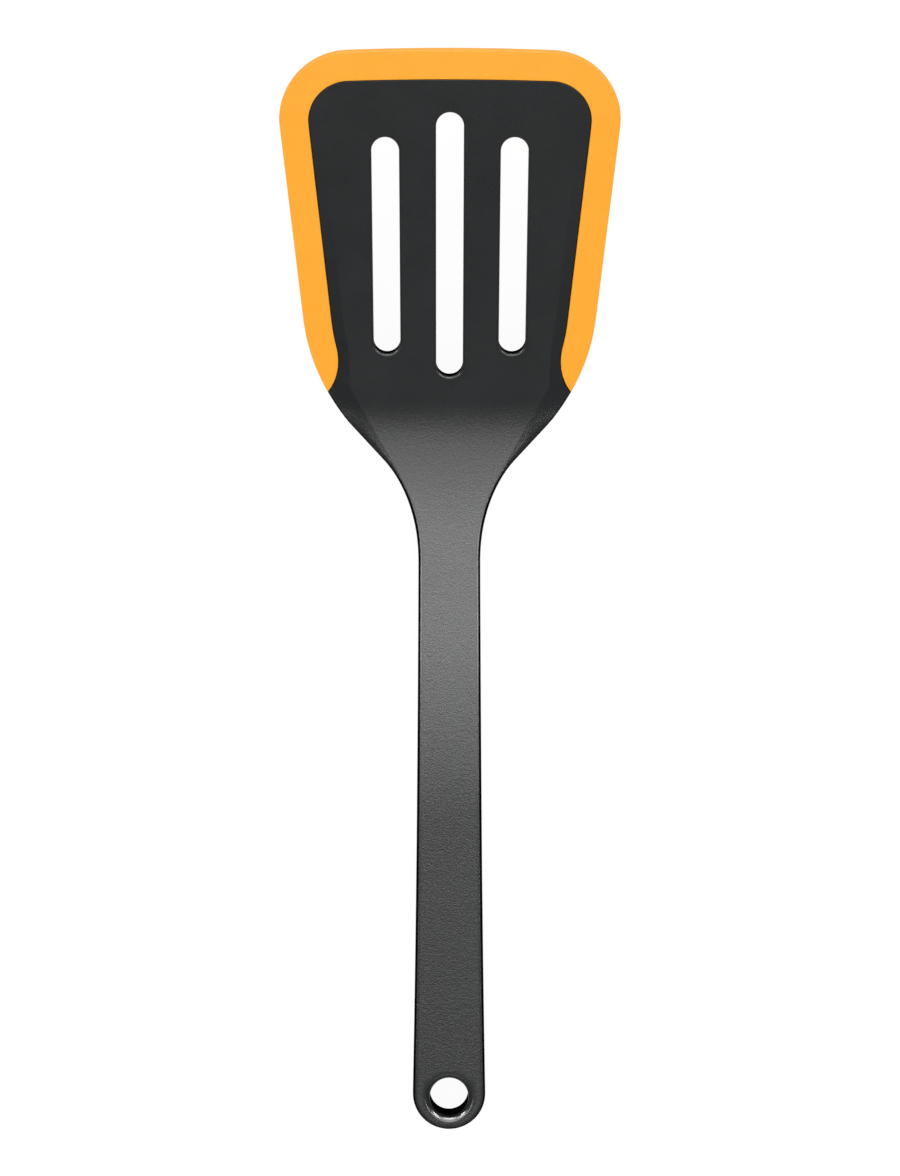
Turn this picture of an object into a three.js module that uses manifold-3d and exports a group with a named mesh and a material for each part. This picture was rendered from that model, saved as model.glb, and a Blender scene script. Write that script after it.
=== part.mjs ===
// A slotted turner: one nylon moulding (blade, neck and handle) with a silicone edge round its blade.
// Millimetres. It lies on a table as it is put down: the heel and the handle end touch z = 0, the tip
// points along +Y and stands clear of the table, and the worked face looks up along +Z.
import * as THREE from "three";
import { mergeVertices } from "three/addons/utils/BufferGeometryUtils.js";
import Module from "manifold-3d";

// Plan outline, measured on the flat blank before it is bent.
const BLADE_WIDTH = 91.5;
const TIP_CORNER_RADIUS = 19;
const TIP_BOW_RADIUS = 700;
const SIDE_TAPER = THREE.MathUtils.degToRad(5.3);
const SIDE_END = 74;
const SHOULDER_RADIUS = 55;
const FLANK_ANGLE = THREE.MathUtils.degToRad(41.5);
const FLARE_LENGTH = 37.5;
const FLARE_WIDTH = 24;
const WAIST_WIDTH = 17.4;
const HANDLE_END_WIDTH = 20.4;

// Side profile of the underside, from the tip to the handle end.
const HEEL_RADIUS = 74;
const HEEL_BEND = THREE.MathUtils.degToRad(32.6);
const NECK_LENGTH = 30.3;
const CREST_RADIUS = 206;
const CREST_BEND = THREE.MathUtils.degToRad(13.6);
const TAIL_LENGTH = 89;

// Thicknesses and edges of the nylon.
const BLADE_THICKNESS = 3.8;
const NECK_THICKNESS = 6.2;
const HANDLE_THICKNESS = 8;
const BLADE_BEVEL = 3;
const SHOULDER_BEVEL = 7.4;
const BEVEL_RUNOUT = 8.7;
const HANDLE_TOP_ROUND = 1.1;
const HANDLE_UNDER_ROUND = 2.2;
const BLADE_UNDER_ROUND = 0.3;

// Slots through the blade and the hanging hole.
const SLOT_WIDTH = 7.45;
const SLOT_PITCH = 17.45;
const SLOT_TIP_LAND = 8.8;
const SLOT_HEEL_LAND = 4.7;
const SIDE_SLOT_INSET = 6.6;
const SLOT_RIM = 0.75;
const HOLE_DIAMETER = 10.8;
const HOLE_FROM_END = 9.2;
const HOLE_TOP_RIM = 1.4;
const HOLE_UNDER_RIM = 0.8;

// Silicone edge: a band round the blade that hooks over a thin tongue on the nylon.
const BAND_WIDTH = 7.85;
const BAND_LIP = 2.8;
const BAND_EDGE = 1.7;
const BAND_NOSE = 0.8;
const BAND_NOSE_DROP = 0.6;
const BAND_ROUND = 0.45;
const BAND_LIP_ROUND = 0.22;
const BAND_TURN = 7.9;
const BAND_SHOULDER_RADIUS = 60;
const BAND_END_RADIUS = 16;
const BAND_END_WIDTH = 0.8;
const CLEARANCE = 0.3;
const LIP_STEP = 0.15;

// The tongue inside the silicone, and the silicone pegs that pass through its holes.
const TONGUE_WIDTH = 4.2;
const TONGUE_THICKNESS = 0.7;
const TONGUE_ROOT = 1.2;
const TONGUE_END_LAND = 13;
const PEG_DIAMETER = 2;
const SIDE_PEGS = 3;
const TIP_PEGS = 3;
const PEG_END_LAND = 6;

// Fineness: how many steps each round and each length is drawn in.
const UNDER_STEPS = 3;
const TOP_STEPS = 3;
const UNDER_RIM_STEPS = 2;
const TOP_RIM_STEPS = 3;
const CORNER_STEPS = 8;
const SIDE_STEPS = 8;
const TURN_STEPS = 7;
const SHOULDER_STEPS = 18;
const HANDLE_STEPS = 18;
const HANDLE_END_STEPS = 8;
const OPENING_END_STEPS = 10;
const PEG_SIDES = 12;
const COLUMNS = 4;
const HALVINGS = 50;
const SAME_POINT = 1e-4;

const wasm = await Module();
wasm.setup();

const lerp = THREE.MathUtils.lerp;
const smoothstep = (from, to, value) => THREE.MathUtils.smoothstep(value, from, to);

// Even values from one end to the other, both included.
function spread(from, to, count) {
  return Array.from({ length: count + 1 }, (_, i) => lerp(from, to, i / count));
}

// The value between low and high at which a falling function crosses zero.
function crossing(low, high, fall) {
  for (let i = 0; i < HALVINGS; i++) {
    const middle = (low + high) / 2;
    if (fall(middle) > 0) low = middle;
    else high = middle;
  }
  return low;
}

// Outline of the blank. u runs from the tip towards the handle end; each function gives a half width.
const corner = { x: BLADE_WIDTH / 2 - TIP_CORNER_RADIUS, u: TIP_CORNER_RADIUS };

// The blade's side at a distance inside the outer edge: the corner round, then a tapered line.
function bladeSide(u, inset) {
  const radius = TIP_CORNER_RADIUS - inset;
  const tangentU = corner.u + radius * Math.sin(SIDE_TAPER);
  if (u < tangentU) return corner.x + Math.sqrt(radius ** 2 - (u - corner.u) ** 2);
  return corner.x + radius * Math.cos(SIDE_TAPER) - (u - tangentU) * Math.tan(SIDE_TAPER);
}

const shoulder = {
  x: bladeSide(SIDE_END, 0) - SHOULDER_RADIUS * Math.cos(SIDE_TAPER),
  u: SIDE_END - SHOULDER_RADIUS * Math.sin(SIDE_TAPER),
};
const flankStart = {
  x: shoulder.x + SHOULDER_RADIUS * Math.cos(FLANK_ANGLE),
  u: shoulder.u + SHOULDER_RADIUS * Math.sin(FLANK_ANGLE),
};
// The flare is part of an ellipse that touches the straight flank and the waist.
const flareTurn = Math.atan((Math.tan(FLANK_ANGLE) * FLARE_LENGTH) / FLARE_WIDTH);
const flareX = WAIST_WIDTH / 2 + FLARE_WIDTH * (1 - Math.cos(flareTurn));
const flareU = flankStart.u + (flankStart.x - flareX) / Math.tan(FLANK_ANGLE);
const waistU = flareU + FLARE_LENGTH * Math.sin(flareTurn);

// The outer outline from the tip corner to the waist, where the handle begins.
function bladeHalf(u) {
  if (u < SIDE_END) return bladeSide(u, 0);
  if (u < flankStart.u) return shoulder.x + Math.sqrt(SHOULDER_RADIUS ** 2 - (u - shoulder.u) ** 2);
  if (u < flareU) return flankStart.x - (u - flankStart.u) * Math.tan(FLANK_ANGLE);
  const beforeWaist = Math.max(0, waistU - u) / FLARE_LENGTH;
  return WAIST_WIDTH / 2 + FLARE_WIDTH * (1 - Math.sqrt(1 - beforeWaist ** 2));
}

// Inner edge of the silicone: parallel to the outer edge along the side, drawn in beside the shoulder,
// then turned outwards to meet the outer edge.
const turnU = SIDE_END + BAND_TURN;
const drawnIn = {
  x: bladeSide(SIDE_END, BAND_WIDTH) - BAND_SHOULDER_RADIUS * Math.cos(SIDE_TAPER),
  u: SIDE_END - BAND_SHOULDER_RADIUS * Math.sin(SIDE_TAPER),
};
const turnAngle = Math.asin((turnU - drawnIn.u) / BAND_SHOULDER_RADIUS);
const turnReach = BAND_SHOULDER_RADIUS + BAND_END_RADIUS;
const turn = {
  x: drawnIn.x + turnReach * Math.cos(turnAngle),
  u: drawnIn.u + turnReach * Math.sin(turnAngle),
};

function innerHalf(u) {
  if (u < SIDE_END) return bladeSide(u, BAND_WIDTH);
  if (u < turnU) return drawnIn.x + Math.sqrt(BAND_SHOULDER_RADIUS ** 2 - (u - drawnIn.u) ** 2);
  return turn.x - Math.sqrt(BAND_END_RADIUS ** 2 - (u - turn.u) ** 2);
}

const bandHalf = (u) => bladeHalf(u) - innerHalf(u);
const bandEndU = crossing(turnU, turn.u + BAND_END_RADIUS, (u) => bandHalf(u) - BAND_END_WIDTH);

// Underside of the side profile: straight blade, heel arc, straight neck, crest arc, straight tail.
const bladeLength = bandEndU + CLEARANCE;
const heelEnd = bladeLength + HEEL_RADIUS * HEEL_BEND;
const neckEnd = heelEnd + NECK_LENGTH;
const crestEnd = neckEnd + CREST_RADIUS * CREST_BEND;
const totalLength = crestEnd + TAIL_LENGTH;
const endCentreU = totalLength - HANDLE_END_WIDTH / 2;

// The whole outer outline, up to the start of the round handle end.
function outerHalf(u) {
  if (u < waistU) return bladeHalf(u);
  const widening = (u - waistU) / (endCentreU - waistU);
  return WAIST_WIDTH / 2 + ((HANDLE_END_WIDTH - WAIST_WIDTH) / 2) * widening ** 2;
}

// Direction "up from the underside" where the profile has turned by an angle.
const upAt = (angle) => new THREE.Vector2(Math.sin(angle), Math.cos(angle));
const alongAt = (angle) => new THREE.Vector2(-Math.cos(angle), Math.sin(angle));
const tailAngle = HEEL_BEND - CREST_BEND;
const heelCentre = alongAt(0).multiplyScalar(bladeLength).addScaledVector(upAt(0), HEEL_RADIUS);
const neckStart = heelCentre.clone().addScaledVector(upAt(HEEL_BEND), -HEEL_RADIUS);
const crestStart = neckStart.clone().addScaledVector(alongAt(HEEL_BEND), NECK_LENGTH);
const crestCentre = crestStart.clone().addScaledVector(upAt(HEEL_BEND), -CREST_RADIUS);
const tailStart = crestCentre.clone().addScaledVector(upAt(tailAngle), CREST_RADIUS);

// Point of the underside and turned angle at u, before the tool is laid on the table.
function undersideAt(u) {
  if (u < bladeLength) return { point: alongAt(0).multiplyScalar(u), angle: 0 };
  if (u < heelEnd) {
    const angle = (u - bladeLength) / HEEL_RADIUS;
    return { point: heelCentre.clone().addScaledVector(upAt(angle), -HEEL_RADIUS), angle };
  }
  if (u < neckEnd) {
    const point = neckStart.clone().addScaledVector(alongAt(HEEL_BEND), u - heelEnd);
    return { point, angle: HEEL_BEND };
  }
  if (u < crestEnd) {
    const angle = HEEL_BEND - (u - neckEnd) / CREST_RADIUS;
    return { point: crestCentre.clone().addScaledVector(upAt(angle), CREST_RADIUS), angle };
  }
  const point = tailStart.clone().addScaledVector(alongAt(tailAngle), u - crestEnd);
  return { point, angle: tailAngle };
}

// The table is the line that touches the heel arc from below and meets the underside of the handle end.
const tailContact = undersideAt(totalLength - HANDLE_UNDER_ROUND).point.sub(heelCentre);
const tableNormal = tailContact.angle() + Math.acos(HEEL_RADIUS / tailContact.length());
const layDown = -Math.PI / 2 - tableNormal;

// The tip's edge is bowed: towards its corners the blank falls back by the sagitta of a large circle.
function bowed(x, u) {
  const share = Math.max(0, 1 - (u / TIP_CORNER_RADIUS) ** 2);
  const reach = Math.min(Math.abs(x), corner.x);
  return u + (share * reach ** 2) / (2 * TIP_BOW_RADIUS);
}

// A point of the flat blank (x across, u along, height above the underside) as it sits in the bent tool.
function place(x, u, height) {
  const { point, angle } = undersideAt(bowed(x, u));
  const raised = point.addScaledVector(upAt(angle), height);
  const laid = raised.rotateAround(heelCentre, layDown).sub(heelCentre);
  return new THREE.Vector3(x, laid.x, laid.y + HEEL_RADIUS);
}

// A geometry drawn flat, with y = -u and z = height, bent into place.
function bent(geometry) {
  const position = geometry.getAttribute("position");
  for (let i = 0; i < position.count; i++) {
    position.setXYZ(i, ...place(position.getX(i), -position.getY(i), position.getZ(i)));
  }
  return geometry;
}

// A geometry as a solid: points at one place are joined, and triangles that have no area left are dropped.
function solidOf(geometry) {
  const bare = new THREE.BufferGeometry();
  bare.setAttribute("position", geometry.getAttribute("position"));
  if (geometry.index) bare.setIndex(geometry.index);
  const merged = mergeVertices(bare, SAME_POINT);
  const corners = merged.index.array;
  const kept = [];
  for (let i = 0; i < corners.length; i += 3) {
    const [a, b, c] = [corners[i], corners[i + 1], corners[i + 2]];
    if (a !== b && b !== c && a !== c) kept.push(a, b, c);
  }
  const vertProperties = merged.attributes.position.array;
  const triVerts = new Uint32Array(kept);
  return new wasm.Manifold(new wasm.Mesh({ numProp: 3, vertProperties, triVerts }));
}

// A surface from quads of flat points { x, u, h }, anticlockwise as seen from outside, bent into place.
function surfaceOf(quads) {
  const numbers = [];
  for (const [a, b, c, d] of quads) {
    for (const p of [a, b, c, a, c, d]) numbers.push(p.x, -p.u, p.h);
  }
  const position = new THREE.Float32BufferAttribute(numbers, 3);
  return bent(new THREE.BufferGeometry().setAttribute("position", position));
}

// Quads between neighbouring rows of points; closed rows join their last point to their first.
function rowQuads(rows, closed) {
  const quads = [];
  for (let i = 0; i + 1 < rows.length; i++) {
    const [near, far] = [rows[i], rows[i + 1]];
    const last = closed ? near.length : near.length - 1;
    for (let k = 0; k < last; k++) {
      const next = (k + 1) % near.length;
      quads.push([near[k], near[next], far[next], far[k]]);
    }
  }
  return quads;
}

// A closed solid through rings of points, with a fan on the first and last ring.
function loft(rings) {
  const fan = (ring) => {
    const middle = { x: 0, u: 0, h: 0 };
    for (const key of Object.keys(middle)) {
      middle[key] = ring.reduce((sum, p) => sum + p[key], 0) / ring.length;
    }
    return ring.map((p, i) => [p, middle, middle, ring[(i + 1) % ring.length]]);
  };
  const ends = [...fan(rings[0]), ...fan([...rings.at(-1)].reverse())];
  return solidOf(surfaceOf([...rowQuads(rings, true), ...ends]));
}

// The blade is a wedge: at the tip it is just lower than the silicone's lip, and it thickens to the heel.
function bladeThickness(u) {
  return lerp(BAND_LIP - LIP_STEP, BLADE_THICKNESS, (u - BAND_WIDTH) / (bladeLength - BAND_WIDTH));
}

// Nylon: thickness along the blank.
function thickness(u) {
  if (u < heelEnd) return lerp(bladeThickness(u), NECK_THICKNESS, smoothstep(bladeLength, heelEnd, u));
  return lerp(NECK_THICKNESS, HANDLE_THICKNESS, smoothstep(heelEnd, crestEnd, u));
}

// How far the cross-section has gone from blade (0) to handle (1).
const handleShare = (u) => smoothstep(bandEndU, flareU + BEVEL_RUNOUT, u);

// Width of the bevel between the nylon's edge and its flat top, straight across the blank.
function bevelAt(u, edgeX) {
  const bladeInset = outerHalf(u) - innerHalf(Math.min(u, turnU)) + CLEARANCE + BLADE_BEVEL;
  const inset = lerp(Math.max(bladeInset, SHOULDER_BEVEL), HANDLE_TOP_ROUND, handleShare(u));
  return edgeX - (outerHalf(u) - inset);
}

// How far the bevel falls for each millimetre across it, where the silicone starts to turn outwards.
const bevelFall = (thickness(turnU) - (BAND_LIP - LIP_STEP)) / BLADE_BEVEL;

// Height of the silicone's inner lip, which follows the bevel down where the band runs out.
function lipHeight(u) {
  if (u < turnU) return BAND_LIP;
  const beside = thickness(u) - bevelFall * bevelAt(u, innerHalf(u) - CLEARANCE);
  return THREE.MathUtils.clamp(beside + LIP_STEP, BAND_EDGE, BAND_LIP);
}

// One half cross-section of the nylon, from the flat underside round the side to the flat top.
function nylonSide(edge, inward, u) {
  const share = handleShare(u);
  const bladeEdge = u < bandEndU ? lipHeight(u) - LIP_STEP : BAND_EDGE;
  const edgeHeight = lerp(bladeEdge, thickness(u) - HANDLE_TOP_ROUND, share);
  const underRound = lerp(BLADE_UNDER_ROUND, HANDLE_UNDER_ROUND, share);
  const power = 2 - share;
  const points = [];
  for (const angle of spread(0, Math.PI / 2, UNDER_STEPS)) {
    points.push({ inset: underRound * (1 - Math.sin(angle)), h: underRound * (1 - Math.cos(angle)) });
  }
  for (const angle of spread(0, Math.PI / 2, TOP_STEPS)) {
    const inset = edge.bevel * (1 - Math.cos(angle) ** power);
    const top = thickness(edge.u + inward.u * inset);
    points.push({ inset, h: lerp(edgeHeight, top, Math.sin(angle) ** power) });
  }
  return points.map(({ inset, h }) => {
    return { x: edge.x + inward.x * inset, u: edge.u + inward.u * inset, h };
  });
}

// Full ring of a cross-section: the right side, the top in columns, the mirrored left side, the underside.
function mirroredRing(side) {
  const across = (point, from, to) =>
    spread(from, to, COLUMNS)
      .slice(1, -1)
      .map((share) => ({ ...point, x: point.x * share }));
  const left = side.map((point) => ({ ...point, x: -point.x })).reverse();
  return [...side, ...across(side.at(-1), 1, -1), ...left, ...across(side[0], -1, 1)];
}

// A cross-section on a round: the edge lies on a circle and the section points at the circle's centre.
function roundSide(centre, radius, angle, bevel) {
  const out = { x: Math.cos(angle), u: Math.sin(angle) };
  const edge = { x: centre.x + out.x * radius, u: centre.u + out.u * radius, bevel };
  return nylonSide(edge, { x: -out.x, u: -out.u }, edge.u);
}

// The nylon without its openings and its tongue, in cross-sections from the tip to the handle end.
function nylonBlank() {
  const sides = [];
  const cornerRadius = TIP_CORNER_RADIUS - BAND_WIDTH - CLEARANCE;
  for (const angle of spread(-Math.PI / 2, 0, CORNER_STEPS).slice(0, -1)) {
    sides.push(roundSide(corner, cornerRadius, angle, BLADE_BEVEL));
  }
  const straightAcross = { x: -1, u: 0 };
  const besideBand = spread(corner.u, turnU, SIDE_STEPS);
  for (const u of [...besideBand, ...spread(turnU, bladeLength, TURN_STEPS).slice(1)]) {
    const x = innerHalf(u) - CLEARANCE;
    sides.push(nylonSide({ x, u, bevel: bevelAt(u, x) }, straightAcross, u));
  }
  const shoulders = spread(bladeLength + CLEARANCE, waistU, SHOULDER_STEPS);
  for (const u of [...shoulders, ...spread(waistU, endCentreU, HANDLE_STEPS).slice(1)]) {
    const x = outerHalf(u);
    sides.push(nylonSide({ x, u, bevel: bevelAt(u, x) }, straightAcross, u));
  }
  const endCentre = { x: 0, u: endCentreU };
  for (const angle of spread(0, Math.PI / 2, HANDLE_END_STEPS).slice(1)) {
    sides.push(roundSide(endCentre, HANDLE_END_WIDTH / 2, angle, HANDLE_TOP_ROUND));
  }
  const tip = sides[0].map((point) => {
    return spread(1, -1, COLUMNS).map((share) => ({ ...point, x: point.x * share }));
  });
  return solidOf(surfaceOf([...rowQuads(sides.map(mirroredRing), true), ...rowQuads(tip, false)]));
}

// A cutter for a round-ended opening from u to u, whose edges are rounded at the top and the underside.
function openingCutter({ x, from, to, width, topRim, underRim }) {
  const underside = () => 0;
  const levels = [{ face: underside, above: -underRim, grow: underRim }];
  for (const angle of spread(0, Math.PI / 2, UNDER_RIM_STEPS)) {
    const above = underRim * (1 - Math.cos(angle));
    levels.push({ face: underside, above, grow: underRim * (1 - Math.sin(angle)) });
  }
  for (const angle of spread(0, Math.PI / 2, TOP_RIM_STEPS)) {
    const above = -topRim * (1 - Math.sin(angle));
    levels.push({ face: thickness, above, grow: topRim * (1 - Math.cos(angle)) });
  }
  levels.push({ face: thickness, above: topRim, grow: topRim });
  const rings = levels.map(({ face, above, grow }) => {
    const radius = width / 2 + grow;
    const halfRing = (centre, start) =>
      spread(start, start + Math.PI, OPENING_END_STEPS).map((angle) => {
        const u = centre - radius * Math.sin(angle);
        return { x: x + radius * Math.cos(angle), u, h: face(u) + above };
      });
    return [...halfRing(from + width / 2, 0), ...halfRing(to - width / 2, Math.PI)];
  });
  return loft(rings);
}

// Stations of a band round the blade, from its left end round the tip to its right end.
// Each station has an outer and an inner point, given by how far they lie from the silicone's inner edge.
function bandStations(endU, outside, inside) {
  const right = [];
  const innerRadius = TIP_CORNER_RADIUS - BAND_WIDTH;
  for (const angle of spread(-Math.PI / 2, 0, CORNER_STEPS).slice(0, -1)) {
    const out = { x: Math.cos(angle), u: Math.sin(angle) };
    const at = (radius) => ({ x: corner.x + radius * out.x, u: corner.u + radius * out.u });
    right.push({ outer: at(innerRadius + outside(corner.u)), inner: at(innerRadius - inside) });
  }
  const straightEnd = Math.min(endU, turnU);
  const turned = endU > turnU ? spread(turnU, endU, TURN_STEPS).slice(1) : [];
  for (const u of [...spread(corner.u, straightEnd, SIDE_STEPS), ...turned]) {
    right.push({ outer: { x: innerHalf(u) + outside(u), u }, inner: { x: innerHalf(u) - inside, u } });
  }
  const flipped = ({ outer, inner }, share) => ({
    outer: { ...outer, x: outer.x * share },
    inner: { ...inner, x: inner.x * share },
  });
  const left = right.map((station) => flipped(station, -1)).reverse();
  const tip = spread(-1, 1, COLUMNS).slice(1, -1);
  return [...left, ...tip.map((share) => flipped(right[0], share)), ...right];
}

// A point at a share of the way from a station's outer point to its inner point.
function stationPoint({ outer, inner }, share, h) {
  return { x: lerp(outer.x, inner.x, share), u: lerp(outer.u, inner.u, share), h };
}

// The silicone without its groove. Its cross-section shrinks as the band runs out at both ends.
function siliconeBand() {
  const rings = bandStations(bandEndU, bandHalf, 0).map((station) => {
    const width = Math.hypot(station.outer.x - station.inner.x, station.outer.u - station.inner.u);
    const scale = Math.min(1, width / BAND_WIDTH);
    const lip = lipHeight(station.inner.u);
    const nose = lerp(BAND_EDGE, BAND_LIP - BAND_NOSE_DROP, scale);
    const round = BAND_ROUND * scale;
    return [
      [1, 0],
      [BAND_ROUND / BAND_WIDTH, 0],
      [0, round],
      [0, BAND_EDGE - round],
      [BAND_ROUND / BAND_WIDTH, BAND_EDGE],
      [BAND_NOSE / BAND_WIDTH, nose],
      [1 - BAND_LIP_ROUND / BAND_WIDTH, lip],
      [1, lip - BAND_LIP_ROUND * scale],
    ].map(([share, h]) => stationPoint(station, share, h));
  });
  return loft(rings);
}

// A flat strip along the inner edge of the silicone, at half the height of the silicone's nose:
// the tongue, or the groove when it is grown by a clearance.
function tongueStrip(grow) {
  const stations = bandStations(
    bandEndU - TONGUE_END_LAND + grow,
    () => TONGUE_WIDTH - CLEARANCE + grow,
    TONGUE_ROOT + CLEARANCE,
  );
  const middle = (BAND_LIP - BAND_NOSE_DROP) / 2;
  const under = middle - TONGUE_THICKNESS / 2 - grow;
  const over = middle + TONGUE_THICKNESS / 2 + grow;
  return loft(
    stations.map((station) => [
      stationPoint(station, 1, under),
      stationPoint(station, 0, under),
      stationPoint(station, 0, over),
      stationPoint(station, 1, over),
    ]),
  );
}

// Places of the pegs along the middle of the tongue, spread over the tip and both sides.
function pegPlaces() {
  const outwards = TONGUE_WIDTH / 2 - CLEARANCE;
  const places = [];
  for (const x of spread(-corner.x, corner.x, TIP_PEGS - 1)) {
    places.push({ x, u: BAND_WIDTH - outwards });
  }
  const lowest = bandEndU - TONGUE_END_LAND - PEG_END_LAND;
  for (const u of spread(corner.u, lowest, SIDE_PEGS - 1)) {
    const x = innerHalf(u) + outwards;
    places.push({ x, u }, { x: -x, u });
  }
  return places;
}

function pegSolids(diameter) {
  return pegPlaces().map(({ x, u }) => {
    const peg = new THREE.CylinderGeometry(diameter / 2, diameter / 2, BAND_LIP, PEG_SIDES);
    return solidOf(bent(peg.rotateX(Math.PI / 2).translate(x, -u, BAND_LIP / 2)));
  });
}

const cutAll = (solid, cutters) => cutters.reduce((left, cutter) => left.subtract(cutter), solid);

function nylonBody() {
  const tongue = cutAll(tongueStrip(0), pegSolids(PEG_DIAMETER + 2 * CLEARANCE));
  const slotFrom = BAND_WIDTH + SLOT_TIP_LAND;
  const slotTo = bladeLength - SLOT_HEEL_LAND;
  const slots = [-1, 0, 1].map((side) => {
    const shorter = Math.abs(side) * SIDE_SLOT_INSET;
    return openingCutter({
      x: side * SLOT_PITCH,
      from: slotFrom + shorter,
      to: slotTo - shorter,
      width: SLOT_WIDTH,
      topRim: SLOT_RIM,
      underRim: SLOT_RIM,
    });
  });
  const holeU = totalLength - HOLE_FROM_END;
  const hole = openingCutter({
    x: 0,
    from: holeU - HOLE_DIAMETER / 2,
    to: holeU + HOLE_DIAMETER / 2,
    width: HOLE_DIAMETER,
    topRim: HOLE_TOP_RIM,
    underRim: HOLE_UNDER_RIM,
  });
  return cutAll(nylonBlank().add(tongue), [...slots, hole]);
}

function siliconeEdge() {
  const groove = cutAll(tongueStrip(CLEARANCE), pegSolids(PEG_DIAMETER));
  return siliconeBand().subtract(groove);
}

function meshOf(name, solid, colour, roughness) {
  const { vertProperties, triVerts } = solid.getMesh();
  const geometry = new THREE.BufferGeometry();
  geometry.setAttribute("position", new THREE.BufferAttribute(vertProperties, 3));
  geometry.setIndex(new THREE.BufferAttribute(triVerts, 1));
  geometry.computeVertexNormals();
  const material = new THREE.MeshStandardMaterial({ color: colour, roughness, metalness: 0 });
  const mesh = new THREE.Mesh(geometry, material);
  mesh.name = name;
  return mesh;
}

const turner = new THREE.Group();
turner.add(meshOf("nylon_body", nylonBody(), 0x2f3133, 0.55));
turner.add(meshOf("silicone_edge", siliconeEdge(), 0xfeae3c, 0.5));

// The origin is the middle of the bounding box on the table.
const box = new THREE.Box3().setFromObject(turner);
for (const mesh of turner.children) {
  mesh.position.set(0, -(box.min.y + box.max.y) / 2, -box.min.z);
}

export default turner;
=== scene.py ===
# %% [markdown]
# # A slotted turner with a soft edge
#
# A kitchen turner is a flat tool that slides under food. This one is a single black nylon moulding, from
# the slotted blade over a bent heel to a flat handle, with an orange silicone edge moulded round the blade.
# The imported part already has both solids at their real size. This lesson builds a finer skin for each of
# them in the same place, gives them moulded finishes, and sets them on a white table under soft light.

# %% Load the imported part
import cmath
import math

import bpy
import numpy as np
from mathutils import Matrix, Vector
from mathutils.geometry import delaunay_2d_cdt


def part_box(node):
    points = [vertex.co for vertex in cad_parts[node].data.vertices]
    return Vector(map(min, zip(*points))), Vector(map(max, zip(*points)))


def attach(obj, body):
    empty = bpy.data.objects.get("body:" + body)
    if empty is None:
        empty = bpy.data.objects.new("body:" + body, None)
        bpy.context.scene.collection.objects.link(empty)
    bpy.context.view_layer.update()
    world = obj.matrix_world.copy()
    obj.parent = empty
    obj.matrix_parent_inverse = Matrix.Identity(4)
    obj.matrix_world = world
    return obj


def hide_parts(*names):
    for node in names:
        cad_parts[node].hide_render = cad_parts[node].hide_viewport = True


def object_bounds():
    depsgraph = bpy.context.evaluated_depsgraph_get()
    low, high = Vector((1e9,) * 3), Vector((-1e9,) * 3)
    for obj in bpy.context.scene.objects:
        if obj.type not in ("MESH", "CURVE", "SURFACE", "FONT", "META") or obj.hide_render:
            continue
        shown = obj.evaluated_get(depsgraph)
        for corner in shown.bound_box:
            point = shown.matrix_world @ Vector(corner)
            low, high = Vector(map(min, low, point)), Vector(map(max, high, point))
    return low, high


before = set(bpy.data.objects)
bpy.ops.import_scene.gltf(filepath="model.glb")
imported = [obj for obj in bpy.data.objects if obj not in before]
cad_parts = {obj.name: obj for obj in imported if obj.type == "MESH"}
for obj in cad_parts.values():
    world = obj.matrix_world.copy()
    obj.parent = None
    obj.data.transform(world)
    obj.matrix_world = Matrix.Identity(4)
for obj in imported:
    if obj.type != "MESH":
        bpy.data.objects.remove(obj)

cad_low, cad_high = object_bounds()
MM = 0.001
print("packed nodes:", sorted(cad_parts))
print("packed box, mm:", [round((high - low) / MM, 1) for low, high in zip(cad_low, cad_high)])

# %% [markdown]
# ## The flat blank
#
# A bent tool is easier to draw before it is bent. We draw it as a flat blank: x runs across, u runs along
# from the tip to the handle end, and h is the height above the flat underside, all in millimetres. The
# outline could be traced by hand, but circles and straight lines that touch each other give the clean
# curves of a real mould, and they are the same ones that the solids were drawn with.

# %% Outline of the blade and its shoulders
BLADE_WIDTH = 91.5
TIP_CORNER_RADIUS = 19
SIDE_TAPER = math.radians(5.3)
SIDE_END = 74
SHOULDER_RADIUS = 55
FLANK_ANGLE = math.radians(41.5)
FLARE_LENGTH = 37.5
FLARE_WIDTH = 24
WAIST_WIDTH = 17.4

corner_x = BLADE_WIDTH / 2 - TIP_CORNER_RADIUS
corner_u = TIP_CORNER_RADIUS


def blade_side(u, inset=0):
    """Half width of the blade beside its tapered side, at a distance inside the outer edge."""
    radius = TIP_CORNER_RADIUS - inset
    tangent_u = corner_u + radius * math.sin(SIDE_TAPER)
    if u < tangent_u:
        return corner_x + math.sqrt(radius**2 - (u - corner_u) ** 2)
    return corner_x + radius * math.cos(SIDE_TAPER) - (u - tangent_u) * math.tan(SIDE_TAPER)


shoulder_x = blade_side(SIDE_END) - SHOULDER_RADIUS * math.cos(SIDE_TAPER)
shoulder_u = SIDE_END - SHOULDER_RADIUS * math.sin(SIDE_TAPER)
flank_x = shoulder_x + SHOULDER_RADIUS * math.cos(FLANK_ANGLE)
flank_u = shoulder_u + SHOULDER_RADIUS * math.sin(FLANK_ANGLE)
flare_turn = math.atan(math.tan(FLANK_ANGLE) * FLARE_LENGTH / FLARE_WIDTH)
flare_x = WAIST_WIDTH / 2 + FLARE_WIDTH * (1 - math.cos(flare_turn))
flare_u = flank_u + (flank_x - flare_x) / math.tan(FLANK_ANGLE)
waist_u = flare_u + FLARE_LENGTH * math.sin(flare_turn)


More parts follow.
